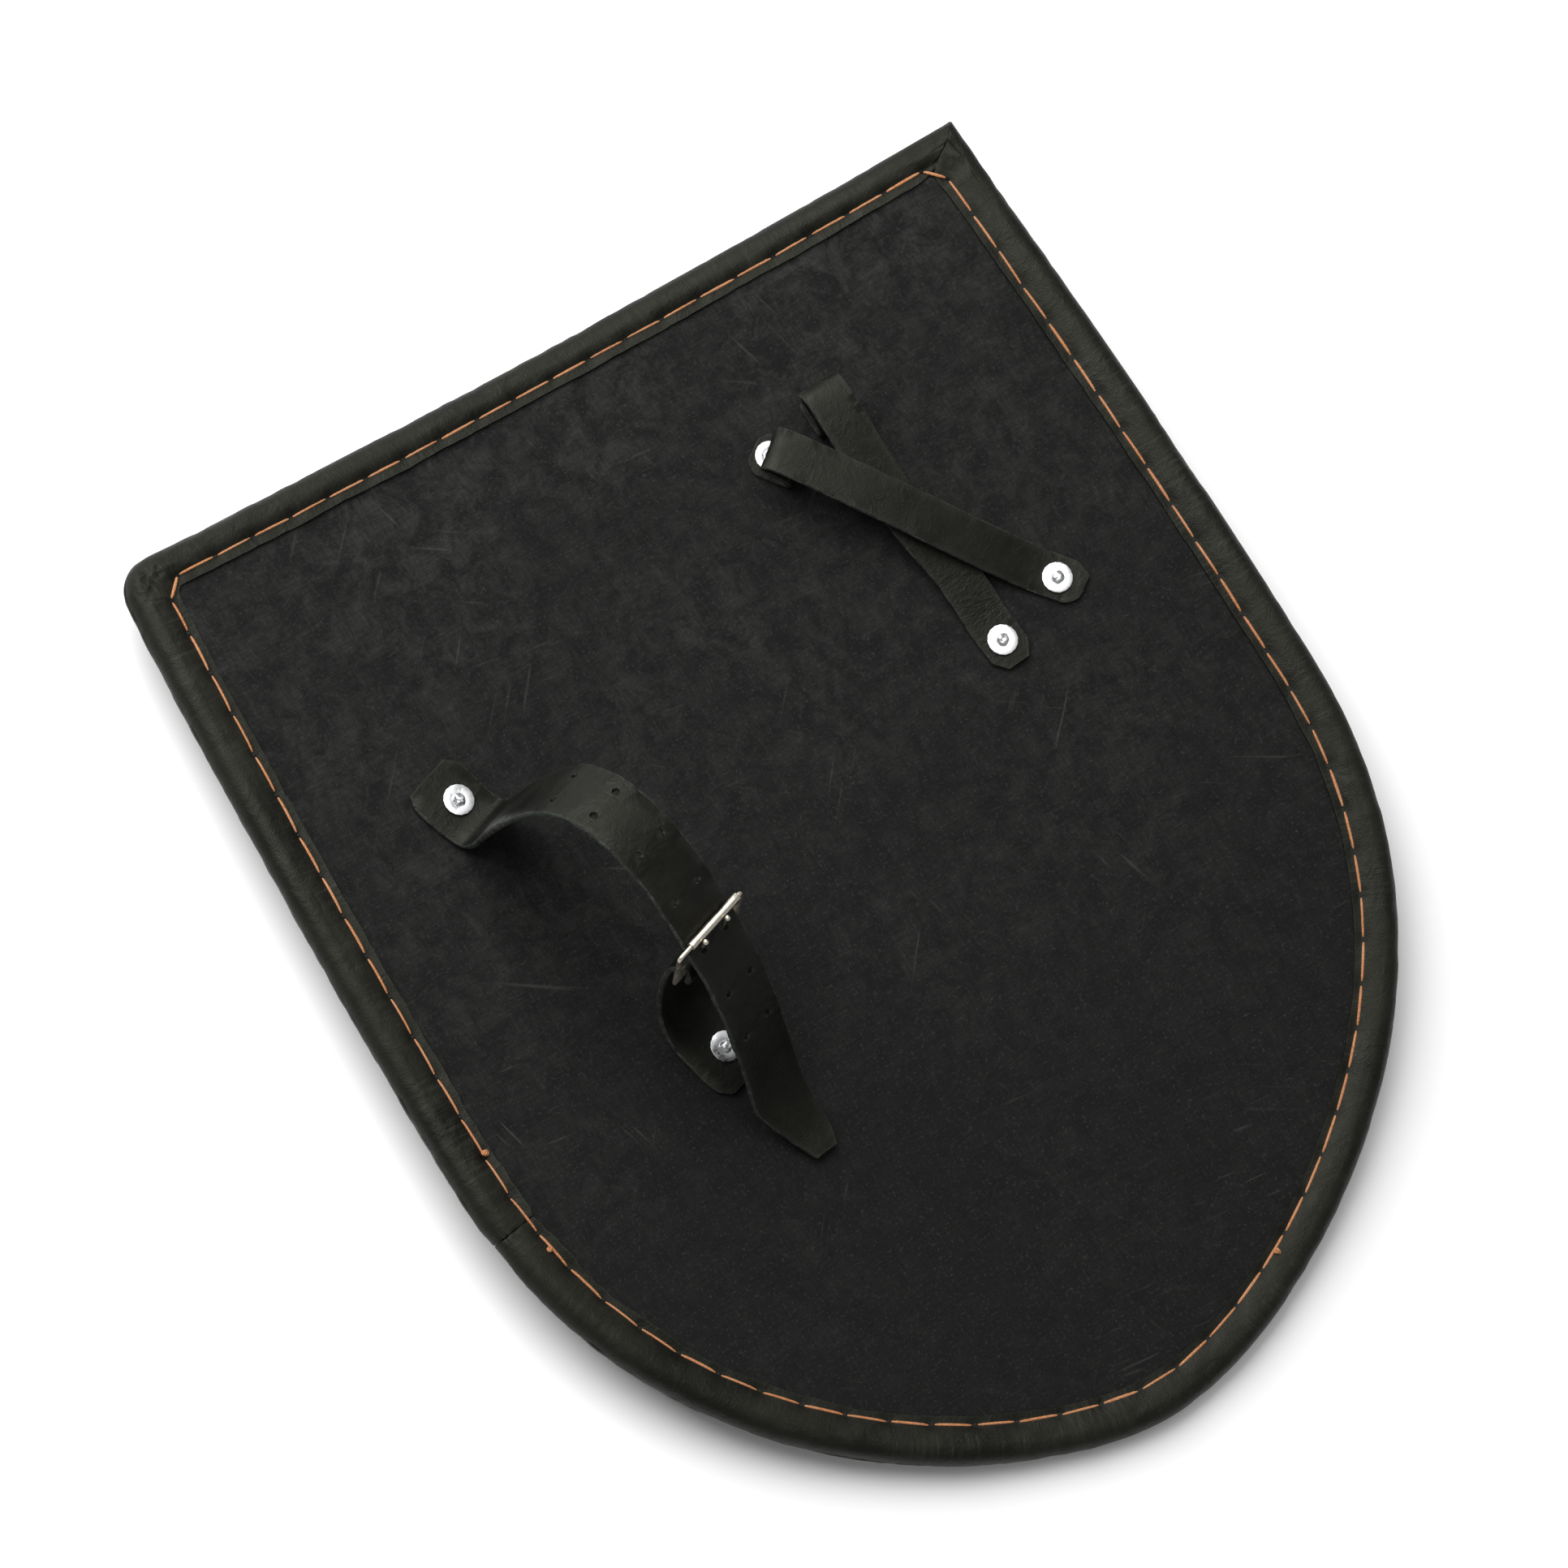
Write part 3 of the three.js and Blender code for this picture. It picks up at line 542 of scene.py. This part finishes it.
canvas = makeCanvas()
bindingLeather = makeLeather("bindingLeather", leatherLooks["binding"], banded=True)
strapLeather = makeLeather("strapLeather", leatherLooks["strap"])
wrinkled = ((0.143, 0.098, 0.03), 0.05, -8)  # middle, reach and turn of the creased end
wrinkledLeather = makeLeather("wrinkledStrapLeather", leatherLooks["strap"], wrinkleAt=wrinkled)
cutEdge = makeLeather("cutLeatherEdge", leatherLooks["cutEdge"])
zinc = makeMetal("zincPlate", metalLooks["zinc"])
nickel = makeMetal("nickelWire", metalLooks["nickel"])
thread = makeThread()
holeShade = makeHoleShade()
print("finishes made")

board = fromSolid("board", "canvas_board", quads=False)
smooth(board, 30)
finishPiece(board, "shield", "canvas", canvas, "board")
print("board made")


stitching = {
    "pitch": 0.0252, "gap": 0.0030, "threadRadius": 0.00075, "lieOff": 0.0075, "cornerCut": 0.0095,
    "topIn": 0.018, "sideIn": 0.0225, "sag": 0.0011, "cuts": (-0.46, -0.36, -0.12, 0.12, 0.36, 0.46),
    "threadSink": 0.0002, "holeSink": 0.0012, "holeRadius": 0.0011, "holeShape": (1.25, 0.9, 0.35),
    "turnJitter": 0.025, "lengthJitter": (0.95, 1.02), "widthJitter": (0.88, 1.1),
}


def valleyIn(run):
    return stitching["topIn"] if run < topLength else stitching["sideIn"]


def insetLine(first, last, inset):
    points = []
    for p, inward, run in zip(edgePath.points, edgePath.inward, edgePath.run):
        if first <= run <= last:
            points.append(p + inward * inset)
    return points


def stitchRuns():
    topY = sheet["length"] / 2 - stitching["topIn"]
    cornerX = sheet["topHalf"] - stitching["sideIn"]
    cut = stitching["cornerCut"]
    top = [Vector((cornerX - cut, topY)), Vector((cut - cornerX, topY))]
    sides = insetLine(topLength + 0.02, edgePath.run[-1], stitching["sideIn"])
    sides = [p for p in sides if p.y < topY - cut]
    return [top, [top[1], sides[0]], sides, [sides[-1], top[0]]]


def walk(points, pitch):  # even spots along a run of plan points
    lengths = [(b - a).length for a, b in zip(points, points[1:])]
    count = max(1, round(sum(lengths) / pitch))
    spots, travelled, k = [], 0.0, 0
    for i in range(count + 1):
        want = sum(lengths) * i / count
        while k < len(lengths) - 1 and travelled + lengths[k] < want:
            travelled += lengths[k]
            k += 1
        spots.append(points[k].lerp(points[k + 1], (want - travelled) / max(lengths[k], 1e-9)))
    return spots


needleSpots = [walk(run, stitching["pitch"]) for run in stitchRuns()]
needleTree = KDTree(sum(len(spots) for spots in needleSpots))
for i, spot in enumerate([spot for spots in needleSpots for spot in spots]):
    needleTree.insert((spot.x, spot.y, 0), i)
needleTree.balance()


binding = {
    "lump": 0.0006, "dimple": 0.0005, "slack": 0.0003, "rollMiddle": 0.012,
    "pinch": 0.0011, "pinchReach": 0.0042, "pinchFrom": 0.008, "outerSkin": 0.0056,
    "flapWave": 0.0008, "flapLift": 0.0009, "tatty": 1.8, "tattyReach": 0.14,
    "crumple": 0.004, "jointDent": 0.0011, "dentReach": 0.011, "jointAlong": 0.405,
}
crumpled = ((cornerA, 0.034, 1.0), (cornerB, 0.04, 0.6))  # corner, reach, strength
leftRun = topLength + math.pi / 2 * sheet["roundCorner"]
jointRun = leftRun + binding["jointAlong"]


def shapeBinding(piece):
    mesh = piece.data
    coords, hollows = [], []
    for vertex in mesh.vertices:
        plan, height = unbend(vertex.co)
        run, inset, inward = edgePath.near(plan)
        coords.append((run, inset))
        side = 1 if height > 0 else -1
        valley = valleyIn(run)
        up = normalAt(plan.x) * side
        away = Vector((inward.x, inward.y, 0))
        onRoll = max(0.0, 1 - inset / (valley - 0.002))
        move = Vector()
        shrink = 0.0
        if onRoll > 0:  # the padding is uneven, so the roll swells and dips
            swell = binding["lump"] * (wave(3 + side, run * 16) + 0.6 * wave(9, run * 42, inset * 30))
            dimple = binding["dimple"] * wave(5 + side, run * 130, inset * 110)
            uneven = max(0, 0.4 * binding["lump"] + swell + dimple)
            shrink += (binding["slack"] + uneven) * min(1, onRoll * 2.5)
        needle = needleTree.find((plan.x, plan.y, 0))[2]
        pull = math.exp(-(needle / binding["pinchReach"]) ** 2)
        if inset > binding["pinchFrom"] and abs(height) > binding["outerSkin"]:  # stitch ends pull it down
            move -= up * binding["pinch"] * pull
        if inset > valley - 0.001:  # the free edge of the flap waves and lifts
            free = min(1, max(0, inset - valley - 0.001) / 0.004)
            tatty = 1.0 + binding["tatty"] * math.exp(-((run - jointRun) / binding["tattyReach"]) ** 2)
            if side > 0:
                move += up * binding["flapLift"] * tatty * free * max(0, wave(22, run * 24) + 0.25)
            waver = wave(31 + side, run * 38) + 0.5 * wave(33, run * 120)
            move += away * binding["flapWave"] * tatty * free * waver
        for corner, reach, strength in crumpled:
            near = math.exp(-((plan - corner).length / reach) ** 2)
            if near > 0.02:
                creases = abs(wave(41, plan.x * 80, plan.y * 80, height * 60))
                creases += 0.6 * abs(wave(47, plan.x * 210, plan.y * 210, height * 150))
                shrink += binding["crumple"] * near * creases * min(1, inset / 0.008) * strength
                pull += 1.6 * near * max(0, creases - 0.22)
        dent = math.exp(-((run - jointRun) / binding["dentReach"]) ** 2)
        shrink += binding["jointDent"] * dent * min(1, onRoll * 2)
        outward = away * min(0, inset - binding["rollMiddle"]) + up * abs(height)
        vertex.co += move - outward.normalized() * shrink
        # painted shade: how dark the stitch dips and corner creases are drawn
        hollows.append(min(1, pull))
    mesh.attributes.new("hollow", "FLOAT", "POINT").data.foreach_set("value", hollows)
    layer = mesh.uv_layers.new(name="band")
    for loop in mesh.loops:
        layer.data[loop.index].uv = coords[loop.vertex_index]


for node in ("binding_top_left", "binding_bottom_right"):
    name = f"edge_{node}"
    strip = fromSolid(node, name)
    while strip.data.uv_layers:
        strip.data.uv_layers.remove(strip.data.uv_layers[0])
    creaseSharp(strip, 48, 0.75)
    applyModifier(strip, "SUBSURF", levels=2, render_levels=2, boundary_smooth="PRESERVE_CORNERS")
    applyModifier(strip, "SUBSURF", levels=1, render_levels=1, subdivision_type="SIMPLE")
    shapeBinding(strip)
    smooth(strip, 55)
    finishPiece(strip, "shield", "leather", bindingLeather, node)
    print(name, len(strip.data.polygons))


def oneStitch():
    length = stitching["pitch"] - stitching["gap"]
    deselectAll()
    bpy.ops.mesh.primitive_cylinder_add(vertices=8, radius=stitching["threadRadius"], depth=length,
                                        end_fill_type="TRIFAN", rotation=(0, math.pi / 2, 0))
    stitch = bpy.context.object
    bakePlace(stitch)
    bpy.ops.object.mode_set(mode="EDIT")
    for cut in stitching["cuts"]:
        bpy.ops.mesh.select_all(action="SELECT")
        bpy.ops.mesh.bisect(plane_co=(cut * length, 0, 0), plane_no=(1, 0, 0))
    bpy.ops.object.mode_set(mode="OBJECT")
    for vertex in stitch.data.vertices:  # the ends dive into the needle holes
        t = abs(vertex.co.x) / (length / 2)
        vertex.co.z = vertex.co.z * 0.85 - stitching["sag"] * t ** 4
        vertex.co.y *= 1.15 - 0.5 * t ** 6
    return stitch


def sewOn(side, name):
    stitch = oneStitch()
    deselectAll()
    # near-black discs at each needle spot, painted shade for the holes
    bpy.ops.mesh.primitive_uv_sphere_add(segments=8, ring_count=5, radius=stitching["holeRadius"])
    prick = bpy.context.object
    prick.data.transform(Matrix.Diagonal((*stitching["holeShape"], 1)))
    threads, pricks = [], []
    for spots in needleSpots:
        for a, b in zip(spots, spots[1:]):
            middle = (a + b) / 2
            seat = lift(middle.x, middle.y, side * (stitching["lieOff"] - stitching["threadSink"]))
            heading = lift(b.x, b.y, 0) - lift(a.x, a.y, 0)
            stretchBy = heading.length / stitching["pitch"]
            heading.normalize()
            up = normalAt(middle.x) * side
            across = up.cross(heading).normalized()
            turn = Matrix((heading, across, up)).transposed().to_4x4()
            tilt = Matrix.Rotation(rng.uniform(-stitching["turnJitter"], stitching["turnJitter"]), 4, "Z")
            longer = stretchBy * rng.uniform(*stitching["lengthJitter"])
            size = Matrix.Diagonal((longer, rng.uniform(*stitching["widthJitter"]), 1, 1))
            threads.append(copyOf(stitch, Matrix.Translation(seat) @ turn @ tilt @ size))
        for spot in spots:
            seat = lift(spot.x, spot.y, side * (stitching["lieOff"] - stitching["holeSink"]))
            up = normalAt(spot.x) * side
            turn = Vector((0, 0, 1)).rotation_difference(up).to_matrix().to_4x4()
            pricks.append(copyOf(prick, Matrix.Translation(seat) @ turn))
    for spare in (stitch, prick):
        bpy.data.objects.remove(spare)
    sewn = join(threads, f"stitches_{name}")
    smooth(sewn, 60)
    finishPiece(sewn, "shield", "leather", thread)
    pricked = join(pricks, f"needle_hole_shade_{name}")
    smooth(pricked, 60)
    finishPiece(pricked, "shield", "leather", holeShade)
    print(name, "stitches", len(threads))


sewOn(1, "back")
sewOn(-1, "front")

knotting = {
    "spots": ((-0.2756, -0.0268), (-0.2727, -0.0901), (0.0963, -0.3018)), "size": 0.0013,
    "loops": 3, "thin": 0.85, "tilt": 0.9, "raise": 0.0008,
}
knots = []
for x, y in knotting["spots"]:
    for turn in range(knotting["loops"]):
        deselectAll()
        bpy.ops.mesh.primitive_torus_add(major_segments=16, minor_segments=6, major_radius=knotting["size"],
                                         minor_radius=stitching["threadRadius"] * knotting["thin"])
        loop = bpy.context.object
        tilts = [rng.uniform(-knotting["tilt"], knotting["tilt"]) for axis in range(2)]
        tip = Euler((*tilts, 2.1 * turn)).to_matrix().to_4x4()
        offset = Vector((rng.uniform(-1, 1), rng.uniform(-1, 1), 0)) * knotting["size"] * 0.5
        seat = lift(x, y, stitching["lieOff"] + knotting["raise"])
        loop.data.transform(Matrix.Translation(seat + offset) @ tip)
        knots.append(loop)
knotPiece = join(knots, "thread_knots")
smooth(knotPiece, 60)
finishPiece(knotPiece, "shield", "leather", thread)


straps = (
    {"node": "grip_strap_over", "name": "hand_strap_over", "across": (0.800, 0.600, 0),
     "thick": 0.0032, "leather": strapLeather},
    {"node": "grip_strap_under", "name": "hand_strap_under", "across": (0.997, 0.078, 0),
     "thick": 0.0032, "leather": wrinkledLeather},
    {"node": "arm_strap", "name": "forearm_strap", "across": (0.955, 0.297, 0),
     "thick": 0.0036, "leather": strapLeather},
    {"node": "buckle_strap", "name": "buckle_strap_leather", "across": (0.955, 0.297, 0),
     "thick": 0.0036, "leather": strapLeather},
)
strapSkin = ((0.00022, 61, 320), (0.0003, 67, 60))  # depth, seed and scale of the unevenness


def markCutEdges(piece, across, thick):  # cut edges are the faces as tall as the leather is thick
    mesh = piece.data
    way = Vector(across)
    for face in mesh.polygons:
        sides = [(mesh.vertices[a].co - mesh.vertices[b].co).length for a, b in face.edge_keys]
        asTall = sum(1 for side in sides if abs(side - thick) < 0.0003) >= 2
        face.material_index = 1 if asTall and abs(face.normal.dot(way)) > 0.2 else 0


def strapUneven(spot):
    return sum(depth * wave(seed, *(spot * scale)) for depth, seed, scale in strapSkin)


for strap in straps:
    piece = fromSolid(strap["node"], strap["name"])
    piece.data.materials.append(strap["leather"])
    piece.data.materials.append(cutEdge)
    markCutEdges(piece, strap["across"], strap["thick"])
    creaseSharp(piece, 50, 0.8)
    applyModifier(piece, "SUBSURF", levels=2, render_levels=2, boundary_smooth="PRESERVE_CORNERS")
    roughen(piece, strapUneven)
    smooth(piece, 50)
    finishPiece(piece, "shield", "leather", None, strap["node"])
    print(strap["name"], len(piece.data.polygons))


prongTip = {"radius": 0.0016, "back": 0.0004}


def addTip(prong):  # the blunt rounded end that shows over the strap
    top = max(vertex.co.z for vertex in prong.data.vertices)
    near = [vertex.co for vertex in prong.data.vertices if vertex.co.z > top - prongTip["radius"]]
    middle = sum(near, Vector()) / len(near)
    deselectAll()
    bpy.ops.mesh.primitive_uv_sphere_add(segments=20, ring_count=12, radius=prongTip["radius"])
    tip = bpy.context.object
    seat = (middle.x, middle.y - prongTip["back"], top - prongTip["radius"])
    tip.data.transform(Matrix.Translation(seat))
    return join([prong, tip], prong.name)


for node, name in (("buckle_frame", "buckle_wire"), ("buckle_prong_left", "prong_left"),
                   ("buckle_prong_right", "prong_right")):
    piece = fromSolid(node, name)
    applyModifier(piece, "SUBSURF", levels=2, render_levels=2)
    if "prong" in name:
        piece = addTip(piece)
    smooth(piece, 60)
    finishPiece(piece, "shield", "nickel", nickel, node)

roller = {
    "outer": 0.00235, "inner": 0.00178, "length": 0.0402, "seamDepth": 0.00016, "seamHalf": 0.1,
    "seamFaces": (-0.55, 0.2, 0.81), "edgeBevel": 0.00012, "cuts": (-0.42, -0.2, 0.0, 0.2, 0.42),
}
rollerJoint = frame["joints"][0]


def makeRoller():
    low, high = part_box("buckle_roller")
    centre = (low + high) / 2
    axis = Vector(rollerJoint["axis"]).normalized()
    deselectAll()
    bpy.ops.mesh.primitive_cylinder_add(vertices=40, radius=roller["outer"], depth=roller["length"],
                                        end_fill_type="NOTHING")
    piece = bpy.context.object
    piece.name = "roller_sleeve"
    bpy.ops.object.mode_set(mode="EDIT")
    for cut in roller["cuts"]:
        bpy.ops.mesh.select_all(action="SELECT")
        bpy.ops.mesh.bisect(plane_co=(0, 0, cut * roller["length"]), plane_no=(0, 0, 1))
    bpy.ops.object.mode_set(mode="OBJECT")
    for vertex in piece.data.vertices:  # the strip's edges meet in a butt seam
        if abs(math.atan2(vertex.co.y, vertex.co.x)) < roller["seamHalf"]:
            vertex.co.x -= roller["seamDepth"]
    applyModifier(piece, "SOLIDIFY", thickness=roller["outer"] - roller["inner"], offset=-1)
    applyModifier(piece, "BEVEL", width=roller["edgeBevel"], segments=2, limit_method="ANGLE")
    facing = Vector(roller["seamFaces"])
    facing = (facing - axis * facing.dot(axis)).normalized()
    turn = Matrix((facing, axis.cross(facing), axis)).transposed().to_4x4()
    piece.data.transform(Matrix.Translation(centre) @ turn)
    smooth(piece, 30)
    return piece


rollerSleeve = makeRoller()
finishPiece(rollerSleeve, "roller", "nickel", nickel, "buckle_roller")
print("buckle made")

washer = {"edgeBevel": 0.00025, "edgeAngle": 40}
for node in [node for node in frame["nodes"] if node.startswith("washer_")]:
    piece = fromSolid(node, node.replace("washer", "zinc_washer"))
    applyModifier(piece, "BEVEL", width=washer["edgeBevel"], segments=2, limit_method="ANGLE",
                  angle_limit=math.radians(washer["edgeAngle"]))
    smooth(piece, 40)
    finishPiece(piece, "shield", "steel", zinc, node)

rivet = {"hammered": 0.0007, "markScale": 420, "domeFrom": 0.0105}


def hammered(spot):  # only the dome over the washer is peened
    if unbend(spot)[1] <= rivet["domeFrom"]:
        return 0.0
    return rivet["hammered"] * wave(seed, *(spot * rivet["markScale"]))


for node in [node for node in frame["nodes"] if node.startswith("rivet_")]:
    piece = fromSolid(node, node.replace("rivet", "peened_rivet"))
    creaseSharp(piece, 70, 0.7)
    applyModifier(piece, "SUBSURF", levels=2, render_levels=2)
    seed = rng.uniform(0, 50)
    roughen(piece, hammered)
    smooth(piece, 50)
    finishPiece(piece, "shield", "steel", zinc, node)
print("washers and rivets made")


studio = {
    "floorSize": 8.0, "floorColour": (0.93, 0.93, 0.93, 1), "world": 0.30,
    "keyPower": 98.0, "keySize": 2.2, "keyAt": (-0.45, 1.55, 1.9),
    "topPower": 10.5, "topSize": 1.4, "topAt": (0.35, 0.25, 2.6),
}

deselectAll()
bpy.ops.mesh.primitive_plane_add(size=studio["floorSize"])
floor = bpy.context.object
floor.name = "floor"
floorMaterial, floorTree, floorShader = newMaterial("paleFloor")
floorShader.inputs["Base Color"].default_value = studio["floorColour"]
floorShader.inputs["Roughness"].default_value = 0.9
floor.data.materials.append(floorMaterial)

world = bpy.data.worlds.new("studio")
bpy.context.scene.world = world
world.use_nodes = True
world.node_tree.nodes["Background"].inputs["Color"].default_value = (1, 1, 1, 1)
world.node_tree.nodes["Background"].inputs["Strength"].default_value = studio["world"]


def areaLight(name, at, aim, size, power):
    data = bpy.data.lights.new(name, "AREA")
    data.shape = "SQUARE"
    data.size = size
    data.energy = power
    light = bpy.data.objects.new(name, data)
    light.location = at
    light.rotation_euler = (Vector(aim) - Vector(at)).to_track_quat("-Z", "Y").to_euler()
    bpy.context.collection.objects.link(light)


areaLight("key", studio["keyAt"], (0, 0, 0), studio["keySize"], studio["keyPower"])
areaLight("overhead", studio["topAt"], (0.1, 0.1, 0), studio["topSize"], studio["topPower"])

lens = {"at": (-1.04714, -0.15754, 3.01588), "turn": (13.603, -14.142, -32.548), "focal": 129.77}
cameraData = bpy.data.cameras.new("camera")
cameraData.lens = lens["focal"]
cameraData.sensor_width = 36
camera = bpy.data.objects.new("camera", cameraData)
camera.location = lens["at"]
camera.rotation_euler = Euler([math.radians(a) for a in lens["turn"]], "XYZ")
bpy.context.collection.objects.link(camera)
bpy.context.scene.camera = camera
bpy.context.scene.view_settings.view_transform = "Standard"
print("stage set")
